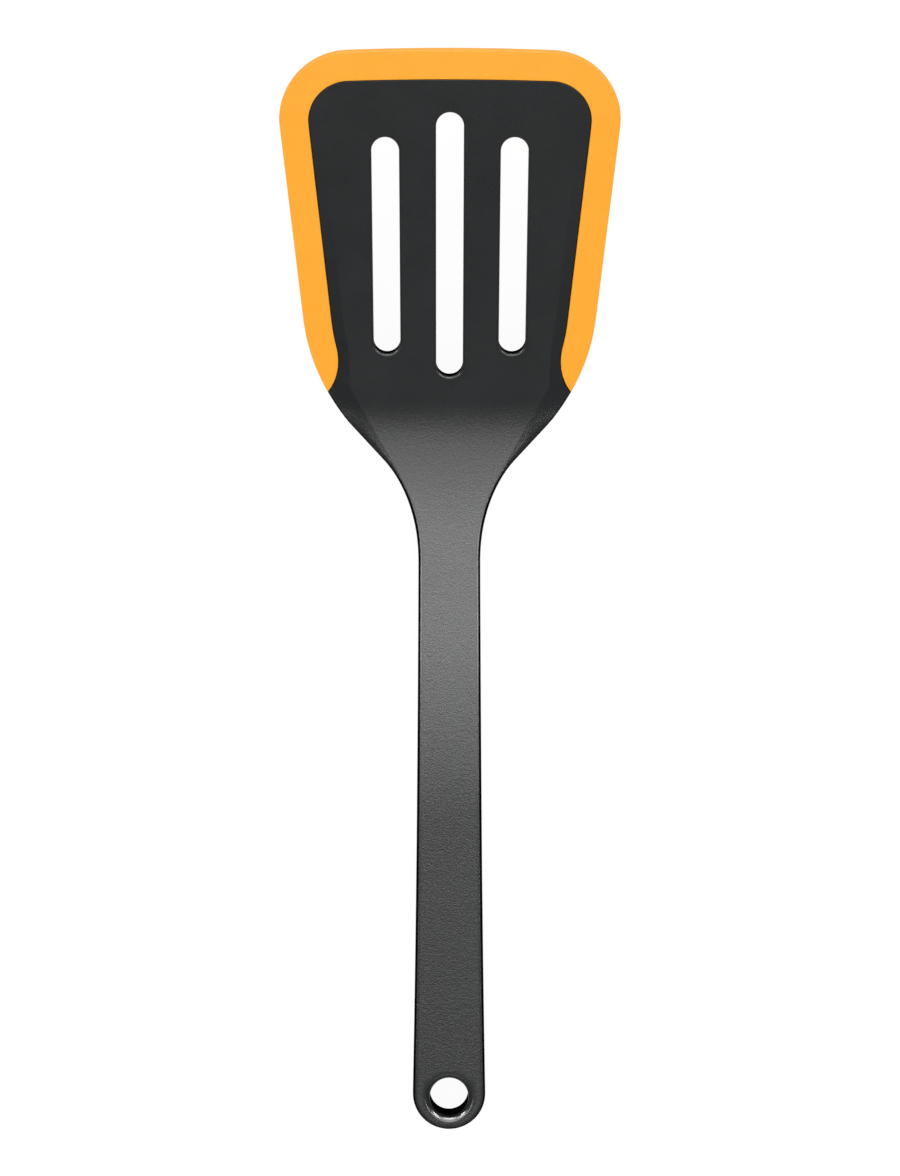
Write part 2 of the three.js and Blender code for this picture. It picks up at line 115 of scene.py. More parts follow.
def blade_half(u):
    """Half width of the outer outline from the tip corner to the waist."""
    if u < SIDE_END:
        return blade_side(u)
    if u < flank_u:
        return shoulder_x + math.sqrt(SHOULDER_RADIUS**2 - (u - shoulder_u) ** 2)
    if u < flare_u:
        return flank_x - (u - flank_u) * math.tan(FLANK_ANGLE)
    before_waist = max(0, waist_u - u) / FLARE_LENGTH
    return WAIST_WIDTH / 2 + FLARE_WIDTH * (1 - math.sqrt(1 - before_waist**2))


print("the blank narrows to its waist at u =", round(waist_u, 1), "mm")

# %% [markdown]
# ## The line between nylon and silicone
#
# On the real tool the silicone is a band about 8 mm wide. Its inner line runs beside the outer edge, is
# drawn in a little at the shoulder, and then turns outwards until it meets the edge in a point. Three
# arcs that touch each other say all of that.

# %% Inner line of the soft edge
BAND_WIDTH = 7.85
BAND_TURN = 7.9
BAND_SHOULDER_RADIUS = 60
BAND_END_RADIUS = 16
BAND_END_WIDTH = 0.8
HALVINGS = 50

turn_u = SIDE_END + BAND_TURN
drawn_in_x = blade_side(SIDE_END, BAND_WIDTH) - BAND_SHOULDER_RADIUS * math.cos(SIDE_TAPER)
drawn_in_u = SIDE_END - BAND_SHOULDER_RADIUS * math.sin(SIDE_TAPER)
turn_angle = math.asin((turn_u - drawn_in_u) / BAND_SHOULDER_RADIUS)
turn_x = drawn_in_x + (BAND_SHOULDER_RADIUS + BAND_END_RADIUS) * math.cos(turn_angle)
turn_centre_u = drawn_in_u + (BAND_SHOULDER_RADIUS + BAND_END_RADIUS) * math.sin(turn_angle)


def inner_half(u):
    """Half width of the nylon inside the silicone."""
    if u < SIDE_END:
        return blade_side(u, BAND_WIDTH)
    if u < turn_u:
        return drawn_in_x + math.sqrt(BAND_SHOULDER_RADIUS**2 - (u - drawn_in_u) ** 2)
    return turn_x - math.sqrt(max(0, BAND_END_RADIUS**2 - (u - turn_centre_u) ** 2))


def band_half(u):
    """Width of the silicone, straight across the blank."""
    return blade_half(u) - inner_half(u)


def where_band_is(width):
    """The u past the shoulder at which the silicone has narrowed to a width."""
    low, high = turn_u, turn_centre_u + BAND_END_RADIUS
    for _ in range(HALVINGS):
        middle = (low + high) / 2
        if band_half(middle) > width:
            low = middle
        else:
            high = middle
    return low


band_end_u = where_band_is(BAND_END_WIDTH)
print("the silicone runs out near u =", round(band_end_u, 1), "mm")

# %% [markdown]
# ## The bend
#
# Seen from the side, the underside is a straight blade, an arc at the heel, a straight neck, a long gentle
# arc over the crest and a straight tail. The tool lies on its heel and its handle end. Complex numbers are
# a handy way to do this: the real part is the distance along the table, the imaginary part is the height,
# and one multiplication turns the whole profile until it lies down.

# %% Side profile, laid on the table
CLEARANCE = 0.3
HEEL_RADIUS = 74
HEEL_BEND = math.radians(32.6)
NECK_LENGTH = 30.3
CREST_RADIUS = 206
CREST_BEND = math.radians(13.6)
TAIL_LENGTH = 89
HANDLE_END_WIDTH = 20.4
HANDLE_UNDER_ROUND = 2.2

blade_length = band_end_u + CLEARANCE
heel_end = blade_length + HEEL_RADIUS * HEEL_BEND
neck_end = heel_end + NECK_LENGTH
crest_end = neck_end + CREST_RADIUS * CREST_BEND
total_length = crest_end + TAIL_LENGTH
end_centre_u = total_length - HANDLE_END_WIDTH / 2


def up_at(angle):
    """Direction away from the underside, where the profile has turned by an angle."""
    return complex(math.sin(angle), math.cos(angle))


def along_at(angle):
    """Direction along the underside towards the handle end."""
    return complex(-math.cos(angle), math.sin(angle))


tail_angle = HEEL_BEND - CREST_BEND
heel_centre = blade_length * along_at(0) + HEEL_RADIUS * up_at(0)
neck_start = heel_centre - HEEL_RADIUS * up_at(HEEL_BEND)
crest_centre = neck_start + NECK_LENGTH * along_at(HEEL_BEND) - CREST_RADIUS * up_at(HEEL_BEND)
tail_start = crest_centre + CREST_RADIUS * up_at(tail_angle)


def underside_at(u):
    """Point of the underside at u, and how far the profile has turned there."""
    if u < blade_length:
        return u * along_at(0), 0
    if u < heel_end:
        angle = (u - blade_length) / HEEL_RADIUS
        return heel_centre - HEEL_RADIUS * up_at(angle), angle
    if u < neck_end:
        return neck_start + (u - heel_end) * along_at(HEEL_BEND), HEEL_BEND
    if u < crest_end:
        angle = HEEL_BEND - (u - neck_end) / CREST_RADIUS
        return crest_centre + CREST_RADIUS * up_at(angle), angle
    return tail_start + (u - crest_end) * along_at(tail_angle), tail_angle


tail_contact = underside_at(total_length - HANDLE_UNDER_ROUND)[0] - heel_centre
table_normal = cmath.phase(tail_contact) + math.acos(HEEL_RADIUS / abs(tail_contact))
lay_down = cmath.exp(1j * (-math.pi / 2 - table_normal))
print("length along the underside:", round(total_length, 1), "mm")

# %% From the flat blank to the bent tool
TIP_BOW_RADIUS = 700
BAND_ROUND = 0.45


def bowed(x, u):
    """The tip's edge is a very large circle, so the blank falls back a little towards its corners."""
    share = max(0, 1 - (u / TIP_CORNER_RADIUS) ** 2)
    reach = min(abs(x), corner_x)
    return u + share * reach**2 / (2 * TIP_BOW_RADIUS)


def laid(x, u, h):
    """Distance along the table and height, as one complex number, in millimetres."""
    point, angle = underside_at(bowed(x, u))
    return (point + h * up_at(angle) - heel_centre) * lay_down + 1j * HEEL_RADIUS


middle_shift = cad_high.y / MM - laid(0, 0, BAND_ROUND).real


def place(x, u, h):
    """A point of the flat blank as it sits in the bent tool, in metres."""
    point = laid(x, u, h)
    return Vector((x, point.real + middle_shift, point.imag)) * MM


print("tip lies", round(place(0, 0, 0).z / MM, 1), "mm above the table")

# %% [markdown]
# ## A mesh drawn flat
#
# Both skins are made of strips of quads between neighbouring rows of points, and of flat faces with holes
# in them. A flat face could be one big polygon, but a polygon with holes shades badly and can't bend. So
# we scatter a grid of points inside it and let a Delaunay triangulation connect them all. It keeps the
# edges of the holes where they are.

# %% Rows, strips and fans
class FlatMesh:
    """Points on the flat blank, and the faces between them."""

    def __init__(self):
        self.points = []
        self.faces = []

    def row(self, points):
        """Adds points and returns their numbers."""
        start = len(self.points)
        self.points.extend(points)
        return list(range(start, len(self.points)))

    def strip(self, rows, across=False, around=False):
        """Quads between neighbouring rows. across joins each row's ends, around joins the last row."""
        following = rows[1:] + rows[:1] if around else rows[1:]
        for near, far in zip(rows, following):
            count = len(near) if across else len(near) - 1
            for k in range(count):
                n = (k + 1) % len(near)
                self.faces.append((near[k], near[n], far[n], far[k]))

    def fan(self, ring):
        """A small face closed by triangles that meet in its middle."""
        middle = self.row([tuple(np.mean([self.points[i] for i in ring], axis=0))])[0]
        for here, there in zip(ring, ring[1:] + ring[:1]):
            self.faces.append((here, there, middle))


print("a flat mesh starts with", len(FlatMesh().points), "points")

# %% Spots inside an outline
TINY = 1e-12


def within(spots, polygon):
    """Which spots lie inside a polygon: a line to the right crosses its edge an odd number of times."""
    start = np.array(polygon)
    end = np.roll(start, -1, axis=0)
    x, u = spots[:, :1], spots[:, 1:]
    straddles = (start[:, 1] > u) != (end[:, 1] > u)
    rise = np.where(end[:, 1] == start[:, 1], 1, end[:, 1] - start[:, 1])
    crossing_x = start[:, 0] + (u - start[:, 1]) / rise * (end[:, 0] - start[:, 0])
    return (straddles & (x < crossing_x)).sum(axis=1) % 2 == 1


def clear_of(spots, polygon, margin):
    """Which spots are at least a margin away from a polygon's edge."""
    start = np.array(polygon)
    along = np.roll(start, -1, axis=0) - start
    offset = spots[:, None, :] - start
    length = np.maximum((along**2).sum(axis=1), TINY)
    share = np.clip((offset * along).sum(axis=2) / length, 0, 1)
    nearest = offset - share[..., None] * along
    return (np.hypot(nearest[..., 0], nearest[..., 1]) > margin).all(axis=1)


def grid_inside(loops, spacing):
    """Grid points inside the first loop, outside the others, and not close to any of them."""
    outline = np.array(loops[0])
    reach = np.abs(outline[:, 0]).max()
    columns = np.arange(-math.ceil(reach / spacing), math.ceil(reach / spacing) + 1) * spacing
    rows = np.arange(outline[:, 1].min(), outline[:, 1].max(), spacing)
    spots = np.array([(x, u) for u in rows for x in columns])
    kept = within(spots, loops[0])
    for hole in loops[1:]:
        kept &= ~within(spots, hole)
    spots = spots[kept]
    for loop in loops:
        spots = spots[clear_of(spots, loop, spacing / 2)]
    return [tuple(spot) for spot in spots]


square = [(0, 0), (10, 0), (10, 10), (0, 10)]
print("spots of a 2 mm grid inside a 10 mm square:", len(grid_inside([square], 2)))

# %% Fill a face with triangles
MERGE_DISTANCE = 1e-7


def fill_face(flat, outline, holes, height, spacing, upwards):
    """Triangles between an outline and its holes, over a grid of points at a height."""
    loops = [outline, *holes]
    edges_of = [[flat.points[i][:2] for i in loop] for loop in loops]
    inside = grid_inside(edges_of, spacing)
    known = [i for loop in loops for i in loop]
    known += flat.row([(x, u, height(u)) for x, u in inside])
    spots = [Vector((flat.points[i][0], -flat.points[i][1])) for i in known]
    borders = []
    start = 0
    for loop in loops:
        borders += [(start + k, start + (k + 1) % len(loop)) for k in range(len(loop))]
        start += len(loop)
    _, _, triangles, sources, _, _ = delaunay_2d_cdt(spots, borders, [], 0, MERGE_DISTANCE)
    corners = [[known[sources[i][0]] for i in triangle] for triangle in triangles]
    middles = np.array([np.mean([flat.points[i][:2] for i in c], axis=0) for c in corners])
    kept = within(middles, edges_of[0])
    for hole in edges_of[1:]:
        kept &= ~within(middles, hole)
    for triangle, keep in zip(corners, kept):
        if keep:
            flat.faces.append(tuple(triangle) if upwards else tuple(reversed(triangle)))


sample = FlatMesh()
fill_face(sample, sample.row([(x, u, 0) for x, u in square]), [], lambda u: 0, 2, True)
print("triangles that fill the square:", len(sample.faces))

# %% [markdown]
# ## Cross-section of the nylon
#
# The blade is a thin plate with a flat bevel on its top edge, so that it slips under food. The handle is
# twice as thick, with a small round on top and a larger one below, so that it is kind to the hand. Along
# the shoulder one turns into the other. A single formula with a changing power draws both: a power of two
# gives a straight bevel, a power of one gives a quarter of an ellipse.

# %% Thickness of the nylon
BLADE_THICKNESS = 3.8
NECK_THICKNESS = 6.2
HANDLE_THICKNESS = 8
BAND_LIP = 2.8
LIP_STEP = 0.15


def mix(a, b, share):
    """A value between two."""
    return a + (b - a) * share


def eased(start, end, value):
    """A share from 0 to 1 that starts and ends gently."""
    share = min(1, max(0, (value - start) / (end - start)))
    return share * share * (3 - 2 * share)


def blade_thickness(u):
    """The blade is a wedge: at the tip it is level with the silicone, and it thickens towards the heel."""
    return mix(BAND_LIP - LIP_STEP, BLADE_THICKNESS, (u - BAND_WIDTH) / (blade_length - BAND_WIDTH))


def thickness(u):
    """Height of the flat top above the underside."""
    if u < heel_end:
        return mix(blade_thickness(u), NECK_THICKNESS, eased(blade_length, heel_end, u))
    return mix(NECK_THICKNESS, HANDLE_THICKNESS, eased(heel_end, crest_end, u))


thick_places = {"tip": BAND_WIDTH, "heel": blade_length, "neck": heel_end, "handle": crest_end}
print("thickness, mm:", {name: round(thickness(u), 2) for name, u in thick_places.items()})

# %% How the edge changes along the tool
BLADE_BEVEL = 3
SHOULDER_BEVEL = 7.4
BEVEL_RUNOUT = 8.7
SIDE_RISE = 10
HANDLE_TOP_ROUND = 1.1
BLADE_UNDER_ROUND = 0.3
BAND_EDGE = 1.7


def handle_share(u):
    """How far the cross-section has gone from blade to handle."""
    return eased(band_end_u, flare_u + BEVEL_RUNOUT, u)


def rise_share(u):
    """How far the side of the nylon has risen from the blade's thin edge to the handle's full one."""
    return eased(band_end_u, band_end_u + SIDE_RISE, u)


def band_share(u):
    """1 beside the full silicone, falling to 0 where it runs out."""
    if u < turn_u:
        return 1
    return max(0, min(1, band_half(u) / band_half(turn_u)))


def outer_half(u):
    """The whole outer outline, up to the start of the round handle end."""
    if u < waist_u:
        return blade_half(u)
    widening = (u - waist_u) / (end_centre_u - waist_u)
    return WAIST_WIDTH / 2 + (HANDLE_END_WIDTH - WAIST_WIDTH) / 2 * widening**2


def bevel_at(u, edge_x):
    """Width of the bevel between the nylon's edge and its flat top, straight across."""
    beside = outer_half(u) - inner_half(min(u, turn_u)) + CLEARANCE + BLADE_BEVEL
    widest = max(beside, SHOULDER_BEVEL)
    return edge_x - outer_half(u) + mix(widest, HANDLE_TOP_ROUND, handle_share(u))


bevel_fall = (thickness(turn_u) - (BAND_LIP - LIP_STEP)) / BLADE_BEVEL


def lip_height(u):
    """Height of the silicone's inner lip, which follows the bevel down where the band runs out."""
    if u < turn_u:
        return BAND_LIP
    beside = thickness(u) - bevel_fall * bevel_at(u, inner_half(u) - CLEARANCE)
    return min(BAND_LIP, max(BAND_EDGE, beside + LIP_STEP))


print("height of the silicone's lip at its end:", round(lip_height(band_end_u), 2), "mm")

# %% One cross-section
UNDER_STEPS = 6
TOP_STEPS = 10
TOP_SUPPORT = 0.5
GROOVE_STEPS = 4
SEAM_GROOVE = 0.3
EDGE_BREAK = 0.06
PARTING_RIDGE = 0.05
PARTING_WIDTH = 0.16
RIDGE_START = 12


def quarter(steps):
    """Angles of a quarter turn, both ends included."""
    return [i * math.pi / 2 / steps for i in range(steps + 1)]


def section(u, bevel, inward_u=0):
    """Insets and heights from the flat underside, round the side, to the flat top."""
    share = handle_share(u)
    blade_edge = max(BAND_EDGE, lip_height(u) - LIP_STEP) if u < band_end_u else BAND_EDGE
    edge = mix(blade_edge, thickness(u) - HANDLE_TOP_ROUND, rise_share(u))
    under = mix(BLADE_UNDER_ROUND, HANDLE_UNDER_ROUND, share)
    power = 2 - share
    points = [(under * (1 - math.sin(a)), under * (1 - math.cos(a))) for a in quarter(UNDER_STEPS)]
    parting = (under + edge) / 2
    ridge = PARTING_RIDGE * eased(band_end_u, band_end_u + RIDGE_START, u)
    points += [(0, parting - PARTING_WIDTH), (-ridge, parting), (0, parting + PARTING_WIDTH)]
    groove = mix(EDGE_BREAK, SEAM_GROOVE, band_share(u))

    def rise(inset):
        angle = math.acos((1 - inset / bevel) ** (1 / power))
        return mix(edge, thickness(u + inward_u * inset), math.sin(angle) ** power)

    for a in quarter(GROOVE_STEPS):
        inset = groove * (1 - math.cos(a))
        points.append((inset, rise(inset) - groove * (1 - math.sin(a))))
    for a in quarter(TOP_STEPS)[1:]:
        inset = groove + (bevel - groove) * (1 - math.cos(a) ** power)
        points.append((inset, rise(inset)))
    support = bevel + TOP_SUPPORT
    points.append((support, thickness(u + inward_u * support)))
    return points


print("points in a cross-section:", len(section(50, BLADE_BEVEL)))

# %% [markdown]
# ## Round the edge of the nylon
#
# Now the cross-section goes for a walk round the outline: across the tip, round the corner, down the side,
# out to the point where the silicone ends, over the shoulder and along the handle to its round end. We
# need only the right half, because the left half is its mirror image. The walk takes short steps where
# the outline turns quickly.

# %% Stations from the tip to the handle end
SEAM_GAP = 0.02
TIP_STEPS = 16
CORNER_STEPS = 24
SIDE_SPACING = 1.8
TURN_STEPS = 30
SHOULDER_SPACING = 1.2
HANDLE_SPACING = 2.4
HANDLE_END_STEPS = 40


def spread(start, end, steps):
    """Evenly spaced values, both ends included."""
    return [mix(start, end, i / steps) for i in range(steps + 1)]


def spaced(start, end, spacing):
    """Evenly spaced values that are at most a spacing apart."""
    return spread(start, end, math.ceil((end - start) / spacing))


def turned_section(centre, radius, angle, bevel):
    """A cross-section on a round, which points at the middle of the round."""
    out_x, out_u = math.cos(angle), math.sin(angle)
    edge_x, edge_u = centre[0] + radius * out_x, centre[1] + radius * out_u
    return [(edge_x - out_x * i, edge_u - out_u * i, h) for i, h in section(edge_u, bevel, -out_u)]


def straight_section(u, edge_x):
    """A cross-section straight across the blank."""
    return [(edge_x - i, u, h) for i, h in section(u, bevel_at(u, edge_x))]


nylon_end_u = where_band_is(-SEAM_GAP)
corner_radius = TIP_CORNER_RADIUS - BAND_WIDTH - SEAM_GAP
half_sections = []
for x in spread(0, corner_x, TIP_STEPS)[:-1]:
    half_sections.append(turned_section((x, corner_u), corner_radius, -math.pi / 2, BLADE_BEVEL))
for angle in spread(-math.pi / 2, 0, CORNER_STEPS)[:-1]:
    half_sections.append(turned_section((corner_x, corner_u), corner_radius, angle, BLADE_BEVEL))
for u in spaced(corner_u, turn_u, SIDE_SPACING)[:-1] + spread(turn_u, nylon_end_u, TURN_STEPS):
    half_sections.append(straight_section(u, inner_half(u) - SEAM_GAP))
for u in spaced(nylon_end_u, waist_u, SHOULDER_SPACING)[1:]:
    half_sections.append(straight_section(u, outer_half(u)))
for u in spaced(waist_u, end_centre_u, HANDLE_SPACING)[1:]:
    half_sections.append(straight_section(u, outer_half(u)))
for angle in spread(0, math.pi / 2, HANDLE_END_STEPS)[1:]:
    half_sections.append(turned_section((0, end_centre_u), HANDLE_END_WIDTH / 2, angle, HANDLE_TOP_ROUND))

print("stations on the right half:", len(half_sections))

# %% Rows all the way round the nylon
PARTING_POINTS = 3
SEAM_DARK = 0.3
EDGE_DARK = 0.7
DARK_FADE = 0.25


def edge_shade(points):
    """How much painted shade darkens each point of a cross-section: the seam and the steep edge see little
    light.
    """
    first = len(quarter(UNDER_STEPS)) + PARTING_POINTS
    edge_x, edge_u, _ = points[first]
    reach = mix(SEAM_DARK, EDGE_DARK, handle_share(edge_u))
    insets = [math.hypot(x - edge_x, u - edge_u) for x, u, _ in points]
    shades = [1 - eased(reach - DARK_FADE, reach, inset) for inset in insets]
    return [0] * first + shades[first:]


mirrored = [[(-x, u, h) for x, u, h in points] for points in half_sections[-2:0:-1]]
nylon = FlatMesh()
edge_rows = [nylon.row(points) for points in half_sections + mirrored]
# painted shade: the seam and the steep edges are darkened, as they see little light
shaded = {}
for row in edge_rows:
    shaded.update(zip(row, edge_shade([nylon.points[i] for i in row])))
nylon.strip(edge_rows, around=True)
under_outline = [row[0] for row in edge_rows]
top_outline = [row[-1] for row in edge_rows]
print("stations round the nylon:", len(edge_rows))

# %% [markdown]
# ## Slots and hanging hole
#
# Three slots let fat drain off, and a round hole at the end hangs the tool on a hook. Cutting them out with
# a boolean would leave slivers round the rims. We build each opening instead as a stack of loops, from its
# rounded lower rim up its wall to its rounded upper rim, and leave a hole of that outline in both faces.
# Little light gets in between the walls, so each loop also gets a painted shade that fades out on both rims.

# %% One loop of an opening
HOLE_DIAMETER = 10.8
ROUND_STEPS = 28
SLOT_SPACING = 2


def opening_loop(x, start, end, width, grow):
    """A round-ended loop seen from above, anticlockwise, or a circle when it is as long as it is wide."""
    radius = width / 2 + grow
    near, far = start + width / 2, end - width / 2
    tip = [(x + radius * math.cos(a), near - radius * math.sin(a)) for a in spread(0, math.pi, ROUND_STEPS)]
    heel = [(2 * x - px, near + far - pu) for px, pu in tip]
    if far - near < SLOT_SPACING:
        return tip[:-1] + heel[:-1]
    side = spaced(near, far, SLOT_SPACING)[1:-1]
    left = [(x - radius, u) for u in side]
    right = [(x + radius, u) for u in reversed(side)]
    return tip + left + heel + right


print("points round the hole:", len(opening_loop(0, 0, HOLE_DIAMETER, HOLE_DIAMETER, 0)))

# %% Walls of the openings
RIM_STEPS = 8
UNDER_DARK_STEP = 5


def add_opening(x, start, end, width, top_rim, under_rim, dark_steps):
    """Adds an opening's walls and returns its loops on the underside and on the top."""
    loops = []
    for a in quarter(RIM_STEPS):
        loop = opening_loop(x, start, end, width, under_rim * (1 - math.sin(a)))
        loops.append(nylon.row([(px, pu, under_rim * (1 - math.cos(a))) for px, pu in loop]))
    for a in quarter(RIM_STEPS):
        loop = opening_loop(x, start, end, width, top_rim * (1 - math.cos(a)))
        loops.append(nylon.row([(px, pu, thickness(pu) - top_rim * (1 - math.sin(a))) for px, pu in loop]))
    nylon.strip([list(column) for column in zip(*loops)], around=True)
    # painted shade on the walls between the rims, fading out on both rims
    for level, loop in enumerate(loops):
        below = eased(0, UNDER_DARK_STEP, level)
        above = eased(*dark_steps, level - RIM_STEPS - 1)
        shade = (1 - above) * below
        shaded.update((i, shade) for i in loop)
    return loops[0], loops[-1]


print("loops in a wall:", 2 * (RIM_STEPS + 1))

# %% Three slots and a hole
SLOT_WIDTH = 7.45
SLOT_PITCH = 17.45
SLOT_TIP_LAND = 8.8
SLOT_HEEL_LAND = 4.7
SIDE_SLOT_INSET = 6.6
SLOT_RIM = 0.75
SLOT_DARK_STEPS = (0, 4)
HOLE_FROM_END = 9.2
HOLE_TOP_RIM = 1.7
HOLE_UNDER_RIM = 1
HOLE_DARK_STEPS = (1.6, 3.6)

slot_start = BAND_WIDTH + SLOT_TIP_LAND
slot_end = blade_length - SLOT_HEEL_LAND
openings = []
for side in (-1, 0, 1):
    shorter = abs(side) * SIDE_SLOT_INSET
    start, end = slot_start + shorter, slot_end - shorter
    slot = (side * SLOT_PITCH, start, end, SLOT_WIDTH)
    openings.append(add_opening(*slot, SLOT_RIM, SLOT_RIM, SLOT_DARK_STEPS))
hole_start = total_length - HOLE_FROM_END - HOLE_DIAMETER / 2
hole_end = hole_start + HOLE_DIAMETER
hole = (0, hole_start, hole_end, HOLE_DIAMETER)
openings.append(add_opening(*hole, HOLE_TOP_RIM, HOLE_UNDER_RIM, HOLE_DARK_STEPS))
print("openings:", len(openings), "with", len(openings[0][0]), "points round a side slot")

# %% [markdown]
# ## Marks on the underside
#
# Moulded tools carry faint round marks underneath, where pins pushed the warm part out of the mould. The
# photograph can't show them, so their places are a guess. Each one is a shallow dish: a ring on the
# underside, a ring a tenth of a millimetre deeper, and a floor.

# %% Ejector marks
PIN_DIAMETER = 5
PIN_DEPTH = 0.1
PIN_EDGE = 0.12
PIN_POINTS = 32
PIN_PLACES = [(-29, 32), (29, 32), (-27, 72), (27, 72), (0, 106), (0, 160), (0, 215), (0, 268)]


def circle(x, u, radius, h):
    """A ring of points at a height."""
    angles = [2 * math.pi * i / PIN_POINTS for i in range(PIN_POINTS)]
    return [(x + radius * math.cos(a), u - radius * math.sin(a), h) for a in angles]


pin_rims = []
for x, u in PIN_PLACES:
    rim = nylon.row(circle(x, u, PIN_DIAMETER / 2, 0))
    wall = nylon.row(circle(x, u, PIN_DIAMETER / 2 - PIN_EDGE, PIN_DEPTH))
    nylon.strip([list(pair) for pair in zip(rim, wall)], around=True)
    nylon.fan(wall[::-1])
    pin_rims.append(rim)
print("ejector marks:", len(pin_rims))

# %% [markdown]
# ## Close the faces and bend them
#
# The walls are there, and the flat top and underside are still open between them. We fill both with
# triangles and leave out the slots, the hole and the marks. Then every point of the blank moves to its place
# on the bent tool. A modifier could bend it too, but the solids were bent with this very formula.

# %% Fill the two faces and bend the nylon
GRID_SPACING = 2


def bent_object(name, flat):
    """A flat mesh as a Blender object, bent into place and shaded smooth."""
    mesh = bpy.data.meshes.new(name)
    mesh.from_pydata([place(*point) for point in flat.points], [], flat.faces)
    mesh.polygons.foreach_set("use_smooth", [True] * len(mesh.polygons))
    made = bpy.data.objects.new(name, mesh)
    bpy.context.scene.collection.objects.link(made)
    return made


top_holes = [top for _, top in openings]
under_holes = [under for under, _ in openings] + pin_rims
fill_face(nylon, top_outline, top_holes, thickness, GRID_SPACING, True)
fill_face(nylon, under_outline, under_holes, lambda u: 0, GRID_SPACING, False)
nylon_body = bent_object("nylon_body_skin", nylon)
print("nylon skin:", len(nylon.points), "points,", len(nylon.faces), "faces")

# %% [markdown]
# ## Values stored on the nylon
#
# The blade and the rim of the hole are smoother than the handle, the seam and the steep edges see little
# light and get painted shade, and the blade shines less than the handle. A painted picture could say where,
# but it would have to be unwrapped first. Numbers stored on the points are simpler: grain, shade and shine,
# each from 0 to 1.

# %% Where the nylon is grained, shaded and shiny
GRAIN_ON_BLADE = 0.3
GRAIN_ON_EDGE = 0.3
POLISH_REACH = 1
SHINE_ON_BLADE = 0.3
SHINE_ON_HANDLE = 0.5
SHINE_ON_RIM = 1
SHINE_RISE = 8

hole_u = total_length - HOLE_FROM_END
on_edge = {i for row in edge_rows for i in row[:-1]}
shade = [shaded.get(i, 0) for i in range(len(nylon.points))]
grain, shine = [], []
for i, (x, u, h) in enumerate(nylon.points):
    from_rim = math.hypot(x, u - hole_u) - HOLE_DIAMETER / 2
    away_from_hole = eased(HOLE_TOP_RIM, HOLE_TOP_RIM + POLISH_REACH, from_rim)
    edge_grain = mix(1, GRAIN_ON_EDGE, handle_share(u)) if i in on_edge else 1
    grain.append(mix(GRAIN_ON_BLADE, 1, eased(blade_length, heel_end, u)) * away_from_hole * edge_grain)
    gloss = mix(SHINE_ON_BLADE, SHINE_ON_HANDLE, eased(blade_length, blade_length + SHINE_RISE, u))
    # the shine is taken away where the painted shade is full
    shine.append(mix(SHINE_ON_RIM, gloss, away_from_hole) * (1 - shade[i]))
for name, values in (("grain", grain), ("shade", shade), ("shine", shine)):
    attribute = nylon_body.data.attributes.new(name, "FLOAT", "POINT")
    attribute.data.foreach_set("value", values)
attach(nylon_body, "root")
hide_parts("nylon_body")
print("grain runs from", round(min(grain), 2), "to", round(max(grain), 2))

# %% [markdown]
# ## The silicone edge
#
# The soft edge is a lip that stands a hair above the nylon, falls away gently to a nose, and then drops in
# a round to a thin outer edge. A curve swept along a path would be quick, but its section has to shrink to
# a point at both ends. So we loft it ring by ring, as we did with the nylon.

# %% Cross-section of the silicone
BAND_NOSE = 0.8
BAND_NOSE_DROP = 0.6
BAND_LIP_ROUND = 0.22
BAND_FOOT_ROUND = 0.12
NOSE_PULL = 0.3
NOSE_STEPS = 12
LIP_STEPS = 8
UNDER_COLUMNS = 4


def bezier(points, steps):
    """Points on a cubic curve, both ends included."""
    a, b, c, d = (np.array(p, float) for p in points)
    shares = np.linspace(0, 1, steps + 1)[:, None]
    rest = 1 - shares
    return rest**3 * a + 3 * rest**2 * shares * b + 3 * rest * shares**2 * c + shares**3 * d


def full_band_section():
    """Distances from the outer edge, and heights, anticlockwise from the inner foot."""
    foot, lip, nose = BAND_FOOT_ROUND, BAND_LIP_ROUND, BAND_LIP - BAND_NOSE_DROP
    corner = BAND_ROUND
    slope = BAND_NOSE_DROP / (BAND_WIDTH - lip - BAND_NOSE)
    pull = (NOSE_PULL, nose - slope * (BAND_NOSE - NOSE_PULL))
    points = [(BAND_WIDTH, foot)]
    points += [(d, 0) for d in spread(BAND_WIDTH - foot, corner, UNDER_COLUMNS)]
    points += [(corner * (1 - math.sin(a)), corner * (1 - math.cos(a))) for a in quarter(UNDER_STEPS)[1:]]
    rise = bezier([(0, BAND_EDGE - corner), (0, BAND_EDGE), pull, (BAND_NOSE, nose)], NOSE_STEPS)
    points += [tuple(p) for p in rise]
    towards_lip = spread(BAND_NOSE, BAND_WIDTH - lip, LIP_STEPS)[1:]
    points += [(d, nose + slope * (d - BAND_NOSE)) for d in towards_lip]
    for a in quarter(UNDER_STEPS)[1:]:
        points.append((BAND_WIDTH - lip * (1 - math.sin(a)), BAND_LIP - lip * (1 - math.cos(a))))
    return points


band_section = full_band_section()
print("points in the silicone's section:", len(band_section))

# %% Loft the silicone
BAND_POINT = 0.12


def band_ring(outer, inner):
    """The section between an outer and an inner point, flatter where the band is narrow."""
    nose_scale = min(1, math.dist(outer, inner) / BAND_WIDTH)
    lip_scale = (lip_height(inner[1]) - BAND_EDGE) / (BAND_LIP - BAND_EDGE)
    ring = []
    for distance, height in band_section:
        share = distance / BAND_WIDTH
        low_height = min(height, BAND_EDGE)
        spot = (mix(outer[0], inner[0], share), mix(outer[1], inner[1], share))
        ring.append((*spot, mix(low_height, height, mix(nose_scale, lip_scale, share))))
    return ring


